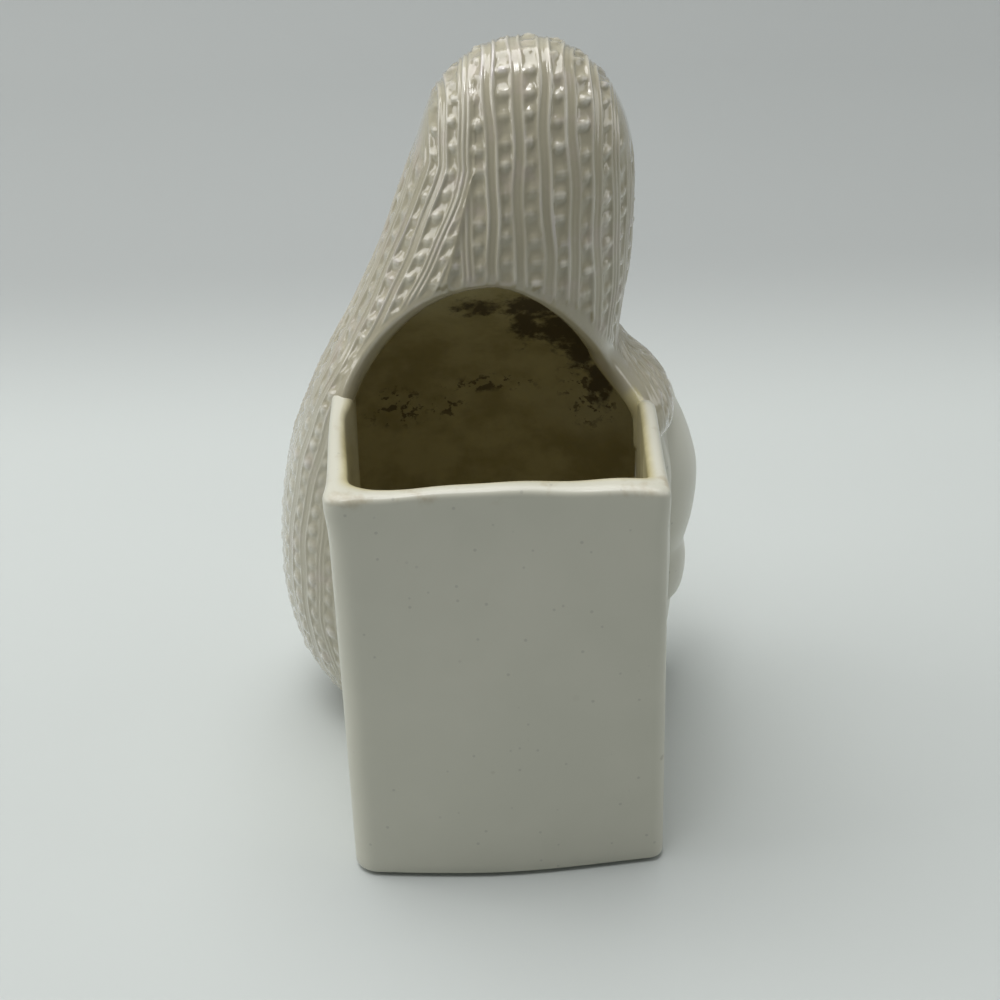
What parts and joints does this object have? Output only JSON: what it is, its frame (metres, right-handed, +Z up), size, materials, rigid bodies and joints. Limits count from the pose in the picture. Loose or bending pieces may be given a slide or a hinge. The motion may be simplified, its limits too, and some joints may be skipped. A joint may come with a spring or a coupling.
{
  "type": "statue planter",
  "caption": "Glazed ceramic planter: a veiled half-length figure with praying hands, and an open planter box on its back under an arched opening.",
  "frame": {"origin": "under the middle of the whole, on the surface that it stands on", "axes": "+Z up along the figure, -Y the way the figure faces, +Y out of the planter box's outer face, +X to the figure's left"},
  "size_m": [0.1316, 0.1353, 0.224],
  "materials": {
    "satin_glaze": "satin cream-grey glaze with fine specks",
    "pearl_glaze": "glossy pearl glaze, ivory with a faint lilac sheen",
    "bare_inside": "thin olive-brown glaze with soil stains"
  },
  "bodies": {
    "root": {"floor": "bare_inside", "planter_box": "satin_glaze", "robe": "satin_glaze", "veil": "pearl_glaze", "head": "satin_glaze", "neck": "satin_glaze", "hair": "pearl_glaze", "collar": "pearl_glaze", "sleeve_left": "satin_glaze", "sleeve_right": "satin_glaze", "cuff_left": "pearl_glaze", "cuff_right": "pearl_glaze", "hand_left": "satin_glaze", "hand_right": "satin_glaze"}
  },
  "joints": []
}
